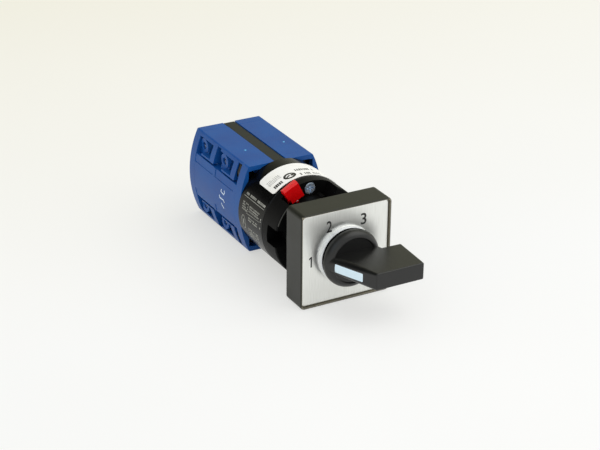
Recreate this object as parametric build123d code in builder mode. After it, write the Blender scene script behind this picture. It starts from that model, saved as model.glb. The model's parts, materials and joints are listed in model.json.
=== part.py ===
"""Cam switch for a panel: a pointer handle turns a square shaft through a round neck that
clamps in a 22 mm panel hole. Behind the panel the shaft carries a star wheel and two cams,
which push plungers that open and close the contact bridges of two stages.

Millimetres. The shaft lies along Y: the dial faces -Y, the stages run back along +Y, and
+Z is up. The origin is the middle of the bezel's back face, which meets the panel.
"""

import os
from math import cos, radians, sin, sqrt

from build123d import *

os.makedirs("parts", exist_ok=True)

# ---------------------------------------------------------------- clearances

fit = 0.06
touch = 0.05
play = 0.1
slide = 0.2
loose = 0.3
# how far a cut runs past the surface that it opens
past = 1.0

# ---------------------------------------------------------------- driving dimensions

# square bezel and its dial
bezel_side = 30.0
bezel_depth = 8.8
bezel_corner = 1.4
bezel_edge = 0.45
bezel_lip = 0.5
dial_corner = 1.0
bezel_front_wall = 2.9
dial_recess = 0.7
dial_thickness = 0.8
collar_step = 0.05
collar_wall = 0.65
collar_height = 2.6
collar_edge = 0.2
collar_flare = 1.0

# panel side of the bezel
neck_step = 3.75
neck_length = 7.7
neck_wall = 3.6
spigot_wall = 1.8
spigot_length = 7.3
gasket_width = 2.4
gasket_thickness = 1.2
corner_pocket = 2.4
corner_pocket_rounding = 0.4
corner_pocket_wall = 1.3

# pointer handle
dome_radius = 9.0
dome_rim = 0.4
dome_height = 2.7
dome_shoulder = 1.8
dome_dish = 0.35
boss_radius = 4.0
boss_length = 5.2
grip_length = 14.8
grip_root = 1.0
grip_tail = 14.6
grip_tail_lean = 0.5
grip_notch_inset = 0.95
grip_notch_depth = 1.4
grip_notch_rise = 0.2
grip_half_base = 2.9
grip_half_tip = 2.65
grip_edge = 0.5
nose_inset = 0.26
nose_tip = -1.7
nose_flat = 0.1
nose_tip_corner = 0.6
pointer_length = 9.8
pointer_height = 2.6
pointer_start = 3.0
pointer_depth = 0.8
pointer_corner = 0.25

# adapter ring with its pockets, given by angles clockwise from the top
body_inset = 0.25
adapter_length = 8.2
adapter_edge = 0.5
rim_length = 3.0
socket_wall = 0.7
shaft_hole_radius = 4.6
latch_pocket_angles = (-42, 25)
screw_pocket_angles = (155, 205)
window_angle = 87
window_half_angle = 11
rib_radius = 0.9
rib_angle = 17
rib_length = 3.0

# red latch in the adapter
latch_angle = -27.0
latch_width = 5.1
latch_depth = 3.4
latch_front = 3.8
latch_proud = 1.95
latch_travel = 1.2
latch_bevel = 0.6
latch_step_width = 0.6
latch_step_depth = 1.4
latch_step_height = 1.6
latch_bore_depth = 3.2
latch_shank = 0.6
latch_head_width = 4.6
latch_head_depth = 1.6
latch_head_length = 1.4
latch_coil_radius = 1.0
latch_coil_pitch = 0.8

# clamp screws
screw_inset = 2.55
screw_sunk = 0.3
screw_head_radius = 1.95
screw_head_height = 1.5
screw_head_edge = 0.5
screw_shank_radius = 1.1
screw_length = 7.0
cross_length = 2.5
cross_width = 0.55
cross_depth = 0.9

# latching housing with its label, star wheel, stops and leaf springs
housing_length = 15.7
housing_wall = 2.5
housing_edge = 0.4
bore_wall = 0.4
star_inset = 3.1
star_lobes = 6
star_valley_radius = 1.6
star_valley_out = 0.4
star_thickness = 3.8
star_gap = 0.7
stop_gap = 0.8
stop_half_angle = 15.0
stop_block_angle = 14.0
stop_slack_angle = 2.0
stop_block_height = 1.2
stop_thickness = 3.0
stop_hub_radius = 5.2
leaf_gap = 1.4
leaf_thickness = 0.4
leaf_bend = 1.9
leaf_tip = 0.35
prong_width = 2.6
prong_height = 3.3
prong_out = 0.4
prong_drop = 1.75
prong_inset = 0.75
barb_out = 1.2
barb_rise = 0.7
barb_length = 2.1
barb_inset = 0.35
label_thickness = 0.15
label_width = 9.8
label_front_gap = 1.0
label_start_angle = -43.8
label_stop_angle = 60.0
label_corner = 1.2

# blue stack: front plate, stages, rear cap and the straps that hold them
stack_inset_height = 0.5
stack_inset_width = 0.48
side_radius = 33.6
stack_corner = 0.6
front_plate_length = 3.7
tray_depth = 2.4
tray_wall = 1.5
stage_length = 14.3
stage_count = 2
stage_floor = 1.5
rear_cap_length = 3.6
strap_width = 3.8
strap_thickness = 1.5
strap_sunk = 0.2
strap_foot = 1.1
strap_foot_reach = 5.05
strap_hook_start = 0.5
strap_hook = 1.4
strap_hook_reach = 1.0

# outside of a stage: heights from the shaft, distances from the stage's front
deck_wall = 1.35
lip_drop = 6.35
lip_thickness = 0.5
lip_short = 3.5
band_height = 3.3
band_start = 1.5
band_depth = 0.15
field_depth = 1.7
entry_width = 4.25
boss_outer = 2.4
boss_out = 2.8
boss_margin = 0.1
boss_back_margin = 0.15
slot_length = 2.3
slot_drop = 0.7
slot_roof = 0.65

# shaft and cams
shaft_side = 4.0
journal_radius = 3.6
hub_radius = 3.9
pin_radius = 2.0
pin_floor = 1.2
turn_angle = 120.0
cam_step = 0.7
cam_lift = 1.2
cam_width = 5.0
cam_flank_points = 9

# contacts of one side of one stage
cam_gap = 0.6
strip_depth = 5.47
strip_thickness = 0.6
strip_half_width = 1.5
strip_margin = 0.2
strip_overhang = 1.8
rivet_height = 0.3
rivet_radius = 1.1
contact_gap = 0.1
contact_drop = 2.5
bridge_overhang = 0.9
bridge_width = 2.8
bridge_thickness = 0.6
bridge_corner = 0.6
chamber_margin = 0.5
plunger_width = 3.2
plunger_height = 3.8
plunger_tip = 1.5
plunger_gap = 0.15
plunger_pin_radius = 0.8
plunger_pin_length = 1.5
spring_radius = 1.5
spring_wire = 0.18
spring_turns = 2.5
panel_wall = 1.1

# terminal screws
terminal_head_radius = 1.9
terminal_head_height = 1.5
terminal_flange_height = 0.6
terminal_neck_radius = 1.6
terminal_shank_radius = 1.0
terminal_shank_length = 2.2
terminal_hole_depth = 3.0
driver_hole_radius = 1.1
driver_slot_width = 0.5
driver_slot_depth = 0.7

# ---------------------------------------------------------------- places along the shaft

dial_front = -bezel_depth + dial_recess
dial_back = dial_front + dial_thickness
collar_front = dial_front - collar_height
dome_back = collar_front - loose
dome_edge = dome_back - dome_rim
dome_front = dome_back - dome_height
skirt_back = dial_front - loose
boss_end = skirt_back + boss_length
grip_base = dome_edge - grip_root
grip_front = dome_front - grip_length
spigot_end = neck_length + spigot_length
rim_front = neck_length + adapter_length - rim_length
head_front = rim_front + screw_sunk
head_back = head_front + screw_head_height
screw_end = head_back + screw_length
latch_face = neck_length + latch_front
latch_back = latch_face + latch_depth
latch_middle = (latch_face + latch_back) / 2
housing_front = neck_length + adapter_length
housing_back = housing_front + housing_length
star_front = housing_front + housing_wall + star_gap
star_back = star_front + star_thickness
stop_back = star_back + loose + stop_thickness
stage_front = housing_back + front_plate_length
cap_front = stage_front + stage_count * stage_length
stack_back = cap_front + rear_cap_length

# ---------------------------------------------------------------- distances out from the shaft

collar_radius = dome_radius + collar_step
grip_notch_x = dome_radius - grip_notch_inset
nose_base = nose_inset - dome_radius
body_radius = bezel_side / 2 - body_inset
neck_radius = body_radius - neck_step
neck_bore = neck_radius - neck_wall
spigot_radius = neck_bore + spigot_wall
pocket_floor = spigot_radius + socket_wall
latch_inner = pocket_floor + latch_travel + slide
latch_outer = body_radius + latch_proud
screw_circle = body_radius - screw_inset
housing_bore = screw_circle - screw_shank_radius - bore_wall
star_radius = housing_bore - star_inset
star_valley_circle = star_radius + star_valley_out
stop_radius = housing_bore - stop_gap
stack_height = 2 * (body_radius - stack_inset_height)
stack_width = 2 * (body_radius - stack_inset_width)
strap_outer = stack_height / 2 - strap_sunk
strap_inner = strap_outer - strap_thickness
housing_spigot = min(strap_inner, stack_height / 2 - tray_wall) - touch
cam_low = hub_radius + cam_step
cam_cavity = cam_low + cam_lift + cam_gap
strip_inner = stack_width / 2 - strip_depth
strip_outer = strip_inner + strip_thickness
prong_inner = strip_inner - prong_out
prong_outer = prong_inner + prong_width
bridge_closed = strip_outer + 2 * rivet_height + contact_gap

# ---------------------------------------------------------------- heights and lengths in a stage

prong_high = stack_height / 2 - prong_drop
prong_low = prong_high - prong_height
lip_low = stack_height / 2 - lip_drop
lip_high = lip_low + lip_thickness
lip_length = stage_length - lip_short
slot_low = lip_low - slot_drop
contact_height = lip_low - contact_drop
band_low = lip_low - band_height
entry_high = stack_height / 2 - deck_wall
terminal_height = entry_high - boss_margin - boss_outer
bridge_half_length = contact_height + bridge_overhang
chamber_half_height = bridge_half_length + chamber_margin
boss_middle = stage_length - boss_back_margin - boss_outer
entry_back = boss_middle - boss_outer - boss_margin
entry_front = entry_back - entry_width
contact_offset = (entry_front + entry_back) / 2
chamber_back = contact_offset + bridge_width / 2 + chamber_margin

SIDES = (("left", -1), ("right", 1))
LEVELS = (("upper", 1), ("lower", -1))
QUARTERS = [(side, level) for side in (-1, 1) for level in (-1, 1)]


# ---------------------------------------------------------------- helpers


def across(y):
    """The plane across the shaft at depth y: its x is X, its y is Z, and it faces the front."""
    return Plane(origin=(0, y, 0), x_dir=(1, 0, 0), z_dir=(0, -1, 0))


def beside(side, out, y, z):
    """The plane at this distance out on the left (-1) or right (1), which faces outwards."""
    return Plane(origin=(side * out, y, z), x_dir=(0, 1, 0), z_dir=(side, 0, 0))


def block(x_span, y_span, z_span, mode=Mode.ADD):
    """A block between three pairs of coordinates, in the part being built."""
    spans = (x_span, y_span, z_span)
    size = [abs(span[1] - span[0]) for span in spans]
    with Locations(Vector(*(sum(span) / 2 for span in spans))):
        Box(*size, mode=mode)


def outward(side, near, far):
    """The span between two distances from the shaft, on one side of it (-1 or 1)."""
    return (side * near, side * far)


def both_ways(half):
    """The span that reaches this far to both sides of the shaft."""
    return (-half, half)


def clock(radius, angle):
    """The point (x, z) at this radius, angle degrees clockwise from the top."""
    return radius * sin(radians(angle)), radius * cos(radians(angle))


def sector(inner, outer, start, stop):
    """A ring sector between two clock angles, in the plane across the shaft."""
    middle = (start + stop) / 2
    with BuildSketch() as shape:
        with BuildLine():
            ThreePointArc(clock(outer, start), clock(outer, middle), clock(outer, stop))
            Line(clock(outer, stop), clock(inner, stop))
            ThreePointArc(clock(inner, stop), clock(inner, middle), clock(inner, start))
            Line(clock(inner, start), clock(outer, start))
        make_face()
    return shape.sketch


def stack_section(inset=0.0):
    """The blue stack's outline, flat above and below with bowed sides, made smaller by inset."""
    half_height = stack_height / 2 - inset
    half_width = stack_width / 2 - inset
    half_top = stack_width / 2 - side_radius + sqrt((side_radius - inset) ** 2 - half_height**2)
    with BuildSketch() as section:
        with BuildLine():
            ThreePointArc((half_top, half_height), (half_width, 0), (half_top, -half_height))
            Line((half_top, -half_height), (-half_top, -half_height))
            ThreePointArc((-half_top, -half_height), (-half_width, 0), (-half_top, half_height))
            Line((-half_top, half_height), (half_top, half_height))
        make_face()
        fillet(section.vertices(), stack_corner)
    return section.sketch


def stack_skin(depth, low, high):
    """The outermost layer of the stack's sides, this deep, between two heights."""
    with BuildSketch() as skin:
        add(stack_section())
        add(stack_section(depth), mode=Mode.SUBTRACT)
        with Locations((0, (low + high) / 2)):
            Rectangle(2 * stack_width, high - low, mode=Mode.INTERSECT)
    return skin.sketch


def strap_channels(y_span):
    """Cuts the channels for the two straps, above and below, from the part being built."""
    for level in (-1, 1):
        block(
            both_ways(strap_width / 2 + slide),
            y_span,
            outward(level, strap_inner - touch, stack_height),
            mode=Mode.SUBTRACT,
        )


def coil_spring(start, direction, radius, pitch, height):
    """A coil of six-sided wire that grows from start along direction."""
    with BuildPart() as spring:
        with BuildLine() as coil:
            Helix(pitch=pitch, height=height, radius=radius, center=start, direction=direction)
        with BuildSketch(Plane(origin=coil.line @ 0, z_dir=coil.line % 0)):
            RegularPolygon(spring_wire, 6)
        sweep()
    return spring


def save(piece, name):
    """Names a finished piece and writes it."""
    piece.part.label = name
    export_step(piece.part, f"parts/{name}.step")


# ---------------------------------------------------------------- bezel, dial and gasket

with BuildPart() as bezel_frame:
    with BuildSketch(across(0)):
        RectangleRounded(bezel_side, bezel_side, bezel_corner)
    extrude(amount=bezel_depth)
    fillet(bezel_frame.faces().sort_by(Axis.Y)[0].edges(), bezel_edge)
    with BuildSketch(across(dial_back)):
        dial_opening = bezel_side - 2 * bezel_lip
        RectangleRounded(dial_opening, dial_opening, dial_corner)
    extrude(amount=bezel_depth, mode=Mode.SUBTRACT)
    # the neck passes through the panel, and its spigot is held in the adapter
    with BuildSketch(Plane.XY):
        with BuildLine():
            Polyline(
                (0, -gasket_thickness),
                (neck_radius, -gasket_thickness),
                (neck_radius, neck_length),
                (spigot_radius, neck_length),
                (spigot_radius, spigot_end),
                (0, spigot_end),
                close=True,
            )
        make_face()
    revolve(axis=Axis.Y)
    with BuildSketch(across(spigot_end)):
        Circle(neck_bore)
    extrude(amount=spigot_end - dial_back - bezel_front_wall, mode=Mode.SUBTRACT)
    with BuildSketch(across(0)):
        Circle(boss_radius + fit)
    extrude(amount=bezel_depth, mode=Mode.SUBTRACT)
    # groove for the gasket, and four hollowed corners
    with BuildSketch(across(0)):
        Circle(neck_radius + gasket_width)
        Circle(neck_radius, mode=Mode.SUBTRACT)
    extrude(amount=gasket_thickness, mode=Mode.SUBTRACT)
    with BuildSketch(across(0)):
        pocket_pitch = bezel_side - 2 * corner_pocket_wall - corner_pocket
        with GridLocations(pocket_pitch, pocket_pitch, 2, 2):
            RectangleRounded(corner_pocket, corner_pocket, corner_pocket_rounding)
    extrude(amount=bezel_depth / 2, mode=Mode.SUBTRACT)
    # keyhole in the spigot: a wide window for the latch's head, a narrow way out for its shank
    keyhole_height = 2 * (spigot_wall + past)
    with Locations(Rotation(0, latch_angle, 0)):
        with Locations((0, latch_middle, spigot_radius)):
            Box(
                latch_head_width + 2 * slide,
                latch_head_depth + 2 * slide,
                keyhole_height,
                mode=Mode.SUBTRACT,
            )
        with Locations((0, spigot_end, spigot_radius)):
            Box(
                2 * (latch_shank + slide),
                2 * (spigot_end - latch_middle),
                keyhole_height,
                mode=Mode.SUBTRACT,
            )
save(bezel_frame, "bezel_frame")

with BuildPart() as dial_plate:
    with BuildSketch(across(dial_back)):
        dial_side = dial_opening - 2 * touch
        RectangleRounded(dial_side, dial_side, dial_corner - touch)
    extrude(amount=dial_thickness)
    with BuildSketch(across(dial_back)):
        Circle(collar_radius)
    extrude(amount=dial_back - collar_front)
    with BuildSketch(across(dial_back)):
        Circle(collar_radius - collar_wall)
    extrude(amount=bezel_depth, mode=Mode.SUBTRACT)
    # the metal is drawn up into the collar in a flare
    rings = dial_plate.edges().filter_by(GeomType.CIRCLE)
    collar_foot = rings.filter_by(lambda ring: ring.radius > dome_radius).sort_by(Axis.Y)[1]
    fillet(collar_foot, collar_flare)
    fillet(dial_plate.edges().filter_by(GeomType.CIRCLE).sort_by(Axis.Y)[0:2], collar_edge)
save(dial_plate, "dial_plate")

with BuildPart() as panel_gasket:
    with BuildSketch(across(0)):
        Circle(neck_radius + gasket_width - touch)
        Circle(neck_radius + touch, mode=Mode.SUBTRACT)
    extrude(amount=gasket_thickness)
save(panel_gasket, "panel_gasket")

# ---------------------------------------------------------------- pointer handle

nose_slope = (nose_tip - nose_base) / (grip_base - grip_front)


def nose_section(y, half, corner):
    """A section across the grip: its nose is rounded, and it runs past the tail."""
    with BuildSketch() as section:
        with Locations((nose_base + nose_slope * (grip_base - y), 0)):
            Rectangle(2 * grip_tail, 2 * half, align=(Align.MIN, Align.CENTER))
        fillet(section.vertices().group_by(Axis.X)[0], corner)
    return section.sketch


with BuildPart() as grip:
    for y, half, corner in (
        (grip_base, grip_half_base, grip_half_base - nose_flat),
        (grip_front - past, grip_half_tip, nose_tip_corner),
    ):
        with BuildSketch(across(y)):
            add(nose_section(y, half, corner))
    loft(ruled=True)
    notch = dome_front - grip_notch_depth
    with BuildSketch(Plane.XY.offset(-grip_tail)):
        with BuildLine():
            Polyline(
                (-grip_tail, grip_base),
                (-grip_tail, grip_front),
                (grip_tail - grip_tail_lean, grip_front),
                (grip_tail, notch - grip_notch_rise),
                (grip_notch_x, notch),
                (dome_radius - dome_shoulder, grip_base),
                close=True,
            )
        make_face()
    extrude(amount=2 * grip_tail, mode=Mode.INTERSECT)
    front_edges = grip.faces().sort_by(Axis.Y)[0].edges()
    tail_edges = grip.faces().sort_by(Axis.X)[-1].edges()
    fillet(front_edges + tail_edges, grip_edge)

nose_run = Vector(nose_slope, -1, 0).normalized()
nose_out = Vector(-1, -nose_slope, 0).normalized()
pointer_middle = Vector(nose_base, grip_base, 0) + nose_run * (pointer_start + pointer_length / 2)
pointer_bed = Plane(origin=pointer_middle - nose_out * pointer_depth, x_dir=nose_run, z_dir=nose_out)

with BuildPart() as pointer_insert:
    add(grip.part)
    with BuildSketch(pointer_bed):
        RectangleRounded(pointer_length, pointer_height, pointer_corner)
    extrude(amount=2 * pointer_depth, mode=Mode.INTERSECT)
save(pointer_insert, "pointer_insert")

with BuildPart() as handle:
    skirt_radius = collar_radius - collar_wall - loose
    dome_face_radius = dome_radius - dome_shoulder
    with BuildSketch(Plane.XY):
        with BuildLine():
            Polyline(
                (dome_face_radius, dome_front),
                (dome_face_radius - dome_dish, dome_front + dome_dish),
                (0, dome_front + dome_dish),
                (0, boss_end),
                (boss_radius, boss_end),
                (boss_radius, skirt_back),
                (skirt_radius, skirt_back),
                (skirt_radius, dome_back),
                (dome_radius, dome_back),
                (dome_radius, dome_edge),
            )
            TangentArc((dome_radius, dome_edge), (dome_face_radius, dome_front), tangent=(0, -1))
        make_face()
    revolve(axis=Axis.Y)
    add(grip.part)
    add(pointer_insert.part, mode=Mode.SUBTRACT)
    with BuildSketch(across(boss_end)):
        Rectangle(shaft_side + 2 * touch, shaft_side + 2 * touch)
    extrude(amount=boss_length + touch, mode=Mode.SUBTRACT)
save(handle, "handle")

# ---------------------------------------------------------------- adapter ring, latch, clamp screws

with BuildPart() as adapter_ring:
    with BuildSketch(across(housing_front)):
        Circle(body_radius)
    extrude(amount=adapter_length)
    fillet(adapter_ring.edges().sort_by(Axis.Y)[0], adapter_edge)
    with BuildSketch(across(spigot_end + touch)):
        Circle(spigot_radius + fit)
    extrude(amount=adapter_length, mode=Mode.SUBTRACT)
    with BuildSketch(across(housing_front)):
        Circle(shaft_hole_radius)
    extrude(amount=adapter_length, mode=Mode.SUBTRACT)
    # the cut-out above for the latch and the screw, the same below for the other screw, and
    # the finger windows at the sides
    windows = [
        (side * window_angle - window_half_angle, side * window_angle + window_half_angle)
        for side in (-1, 1)
    ]
    for start, stop in (latch_pocket_angles, screw_pocket_angles, *windows):
        with BuildSketch(across(rim_front)):
            add(sector(pocket_floor, body_radius + past, start, stop))
        extrude(amount=adapter_length, mode=Mode.SUBTRACT)
    for angle in (0, 180):
        for y, radius in (
            (housing_front, screw_shank_radius),
            (head_back, screw_head_radius),
        ):
            with BuildSketch(across(y)):
                with Locations(clock(screw_circle, angle)):
                    Circle(radius + touch)
            extrude(amount=rim_length, mode=Mode.SUBTRACT)
    # slot that guides the latch, and the hole for its shank
    with Locations(Rotation(0, latch_angle, 0)):
        slot_back = latch_back + slide
        slot_height = body_radius + past - pocket_floor
        with Locations((0, (rim_front + slot_back) / 2, pocket_floor + slot_height / 2)):
            Box(latch_width + 2 * slide, slot_back - rim_front, slot_height, mode=Mode.SUBTRACT)
        with Locations((0, latch_middle, pocket_floor)):
            Cylinder(latch_shank + slide, 2 * (socket_wall + past), mode=Mode.SUBTRACT)
    # rounded rib beside the screw
    with BuildSketch(across(rim_front)):
        with Locations(clock(pocket_floor, rib_angle)):
            Circle(rib_radius)
        Circle(pocket_floor - socket_wall / 2, mode=Mode.SUBTRACT)
    extrude(amount=rib_length)
save(adapter_ring, "adapter_ring")

shank_end = neck_bore + latch_travel

with BuildPart() as latch_upright:
    half_width = latch_width / 2
    block(both_ways(half_width), (latch_face, latch_back), (latch_inner, latch_outer))
    top_edges = latch_upright.faces().sort_by(Axis.Z)[-1].edges()
    chamfer(top_edges.sort_by(Axis.Y)[0], latch_bevel)
    # the lower left corner steps in
    block(
        (-half_width, -half_width + latch_step_width),
        (latch_face, latch_face + latch_step_depth),
        (latch_inner, latch_inner + latch_step_height),
        mode=Mode.SUBTRACT,
    )
    with Locations((0, latch_middle, latch_inner)):
        Cylinder(latch_coil_radius + spring_wire + slide / 2, 2 * latch_bore_depth, mode=Mode.SUBTRACT)
    above = (Align.CENTER, Align.CENTER, Align.MIN)
    below = (Align.CENTER, Align.CENTER, Align.MAX)
    with Locations((0, latch_middle, shank_end)):
        shank_length = latch_inner + latch_bore_depth - shank_end
        Cylinder(latch_shank, shank_length, align=above)
        Box(latch_head_width, latch_head_depth, latch_head_length, align=below)

with BuildPart() as release_latch:
    add(latch_upright.part, rotation=(0, latch_angle, 0))
save(release_latch, "release_latch")

latch_coil_start = pocket_floor + spring_wire + touch
latch_coil_end = latch_inner + latch_bore_depth - spring_wire - touch

with BuildPart() as latch_spring:
    coil_upright = coil_spring(
        (0, latch_middle, latch_coil_start),
        (0, 0, 1),
        latch_coil_radius,
        latch_coil_pitch,
        latch_coil_end - latch_coil_start,
    )
    add(coil_upright.part, rotation=(0, latch_angle, 0))
save(latch_spring, "latch_spring")

for name, angle in (("clamp_screw_top", 0), ("clamp_screw_bottom", 180)):
    with BuildPart() as clamp_screw:
        with BuildSketch(across(head_back)):
            with Locations(clock(screw_circle, angle)):
                Circle(screw_head_radius)
        extrude(amount=screw_head_height)
        fillet(clamp_screw.edges().sort_by(Axis.Y)[0], screw_head_edge)
        with BuildSketch(across(screw_end)):
            with Locations(clock(screw_circle, angle)):
                Circle(screw_shank_radius)
        extrude(amount=screw_length)
        with BuildSketch(across(head_front + cross_depth)):
            with Locations(clock(screw_circle, angle)):
                Rectangle(cross_length, cross_width)
                Rectangle(cross_width, cross_length)
        extrude(amount=2 * cross_depth, mode=Mode.SUBTRACT)
    save(clamp_screw, name)

# ---------------------------------------------------------------- latching housing and its parts

with BuildPart() as latching_housing:
    with BuildSketch(across(housing_back)):
        Circle(body_radius)
    extrude(amount=housing_length)
    chamfer(latching_housing.edges().sort_by(Axis.Y)[0], housing_edge)
    with BuildSketch(across(housing_back + tray_depth)):
        Circle(housing_spigot)
    extrude(amount=tray_depth)
    with BuildSketch(across(housing_back + tray_depth)):
        Circle(housing_bore)
    extrude(amount=tray_depth + housing_length - housing_wall, mode=Mode.SUBTRACT)
    with BuildSketch(across(housing_back)):
        Circle(journal_radius + fit)
    extrude(amount=housing_length, mode=Mode.SUBTRACT)
    for angle in (0, 180):
        with BuildSketch(across(screw_end + touch)):
            with Locations(clock(screw_circle, angle)):
                Circle(screw_shank_radius + touch)
        extrude(amount=screw_end + touch - housing_front, mode=Mode.SUBTRACT)
    # two stops: the star wheel's arm meets them at either end of its turn
    stop_near = turn_angle / 2 + stop_half_angle + stop_slack_angle
    for side in (-1, 1):
        span = sorted((side * stop_near, side * (stop_near + stop_block_angle)))
        with BuildSketch(across(stop_back)):
            add(sector(stop_radius - stop_block_height, housing_bore + bore_wall, *span))
        extrude(amount=stop_thickness)
    # notches for the straps' front hooks
    for level in (-1, 1):
        block(
            both_ways(strap_width / 2 + slide),
            (
                housing_back + strap_hook_start - play,
                housing_back + strap_hook_start + strap_hook + play,
            ),
            outward(level, housing_spigot - strap_hook_reach - play, body_radius),
            mode=Mode.SUBTRACT,
        )
    # four barbed prongs reach through the front plate into the first stage; in front of its
    # floor they keep within the round housing
    floor_front = housing_back + tray_depth
    for side, level in QUARTERS:
        with BuildSketch(across(floor_front)):
            with Locations((side * (prong_inner + prong_outer) / 2, level * (prong_low + prong_high) / 2)):
                Rectangle(prong_width, prong_height)
            Circle(body_radius - prong_inset, mode=Mode.INTERSECT)
        extrude(amount=tray_depth)
        block(
            outward(side, prong_inner, prong_outer),
            (floor_front, stage_front + touch),
            outward(level, prong_low, prong_high),
        )
        # the barb behind the plate holds it, and lies just under the stage's side
        with BuildSketch(across(stage_front + touch + barb_length)):
            add(stack_section(barb_inset))
            barb_height = prong_height + barb_rise
            with Locations((side * prong_inner, level * (prong_low + barb_height / 2))):
                Rectangle(2 * (prong_width + barb_out), barb_height, mode=Mode.INTERSECT)
            Rectangle(2 * prong_inner, stack_height, mode=Mode.SUBTRACT)
        extrude(amount=barb_length)
save(latching_housing, "latching_housing")

with BuildPart() as rating_label:
    with BuildSketch(across(housing_front + label_front_gap + label_width)):
        add(sector(body_radius, body_radius + label_thickness, label_start_angle, label_stop_angle))
    extrude(amount=label_width)
    corners = rating_label.edges().filter_by(lambda edge: edge.length < 2 * label_thickness)
    fillet(corners, label_corner)
save(rating_label, "rating_label")

with BuildPart() as star_wheel:
    with BuildSketch(across(star_back)):
        Circle(star_radius)
        with PolarLocations(star_valley_circle, star_lobes):
            Circle(star_valley_radius, mode=Mode.SUBTRACT)
    extrude(amount=star_thickness)
    with BuildSketch(across(star_front)):
        Circle(journal_radius)
    extrude(amount=star_front - housing_front - loose)
    # the stop arm points up in the middle of its turn
    with BuildSketch(across(stop_back)):
        arm_middle = -turn_angle / 2
        Circle(stop_hub_radius)
        add(
            sector(
                journal_radius,
                stop_radius,
                arm_middle - stop_half_angle,
                arm_middle + stop_half_angle,
            )
        )
    extrude(amount=stop_back - star_back)
    with BuildSketch(across(stop_back)):
        Rectangle(shaft_side + 2 * touch, shaft_side + 2 * touch)
    extrude(amount=housing_length, mode=Mode.SUBTRACT)
save(star_wheel, "star_wheel")

# leaf springs: each lies across the housing's bore with its nose in a valley of the star
leaf_out = star_radius + leaf_gap
leaf_nose = star_valley_circle - star_valley_radius + loose
leaf_half = sqrt((housing_bore - touch) ** 2 - (leaf_out + leaf_thickness) ** 2)
leaf_run = [
    (leaf_out, -leaf_half),
    (leaf_out, -leaf_bend),
    (leaf_nose, -leaf_tip),
    (leaf_nose, leaf_tip),
    (leaf_out, leaf_bend),
    (leaf_out, leaf_half),
]

for name, side in SIDES:
    with BuildPart() as detent_spring:
        with BuildSketch(across(star_back)):
            with BuildLine():
                inner = [(side * x, z) for x, z in leaf_run]
                outer = [(side * (x + leaf_thickness), z) for x, z in reversed(leaf_run)]
                Polyline(*inner, *outer, close=True)
            make_face()
        extrude(amount=star_thickness)
    save(detent_spring, f"detent_spring_{name}")

# ---------------------------------------------------------------- shaft and cams

with BuildPart() as shaft:
    with BuildSketch(across(cap_front - loose)):
        Rectangle(shaft_side, shaft_side)
    extrude(amount=cap_front - loose - skirt_back)
    with BuildSketch(across(stack_back - pin_floor - slide)):
        Circle(pin_radius)
    extrude(amount=rear_cap_length - pin_floor - slide + loose)
save(shaft, "shaft")


def cam_section(half_turns):
    """A cam's outline: it dwells low, rises evenly over the whole turn of the handle, dwells
    high and falls evenly. It is set on the shaft by half turns."""
    half_turn = 180
    dwell = half_turn - turn_angle
    cam_high = cam_low + cam_lift
    low = (half_turns - 0.5) * half_turn
    rise = low + dwell
    high = rise + turn_angle
    fall = high + dwell

    def flank(first, first_radius, last_radius):
        """Points along an even rise or fall that starts at this angle."""
        shares = [step / (cam_flank_points - 1) for step in range(cam_flank_points)]
        return [
            clock(first_radius + (last_radius - first_radius) * share, first + turn_angle * share)
            for share in shares
        ]

    with BuildSketch() as section:
        with BuildLine():
            for start, radius in ((low, cam_low), (high, cam_high)):
                ends = (start, start + dwell / 2, start + dwell)
                ThreePointArc(*(clock(radius, angle) for angle in ends))
            Spline(*flank(rise, cam_low, cam_high))
            Spline(*flank(fall, cam_high, cam_low))
        make_face()
    return section.sketch


for stage in range(stage_count):
    front = stage_front + stage * stage_length
    with BuildPart() as cam:
        with BuildSketch(across(front + contact_offset + cam_width / 2)):
            add(cam_section(stage))
        extrude(amount=cam_width)
        with BuildSketch(across(front + stage_length)):
            Circle(hub_radius)
        extrude(amount=stage_length - loose)
        with BuildSketch(across(front + stage_length)):
            Rectangle(shaft_side + 2 * touch, shaft_side + 2 * touch)
        extrude(amount=stage_length, mode=Mode.SUBTRACT)
    save(cam, f"cam_{stage + 1}")

# ---------------------------------------------------------------- blue stack

with BuildPart() as front_plate:
    with BuildSketch(across(stage_front)):
        add(stack_section())
    extrude(amount=front_plate_length)
    with BuildSketch(across(housing_back + tray_depth)):
        add(stack_section(tray_wall))
    extrude(amount=tray_depth, mode=Mode.SUBTRACT)
    with BuildSketch(across(stage_front)):
        Circle(hub_radius + fit)
    extrude(amount=front_plate_length, mode=Mode.SUBTRACT)
    for side, level in QUARTERS:
        block(
            outward(side, prong_inner - play, prong_outer + play),
            (housing_back, stage_front),
            outward(level, prong_low - play, prong_high + play),
            mode=Mode.SUBTRACT,
        )
    strap_channels((housing_back - past, stage_front + past))
save(front_plate, "front_plate")

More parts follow.
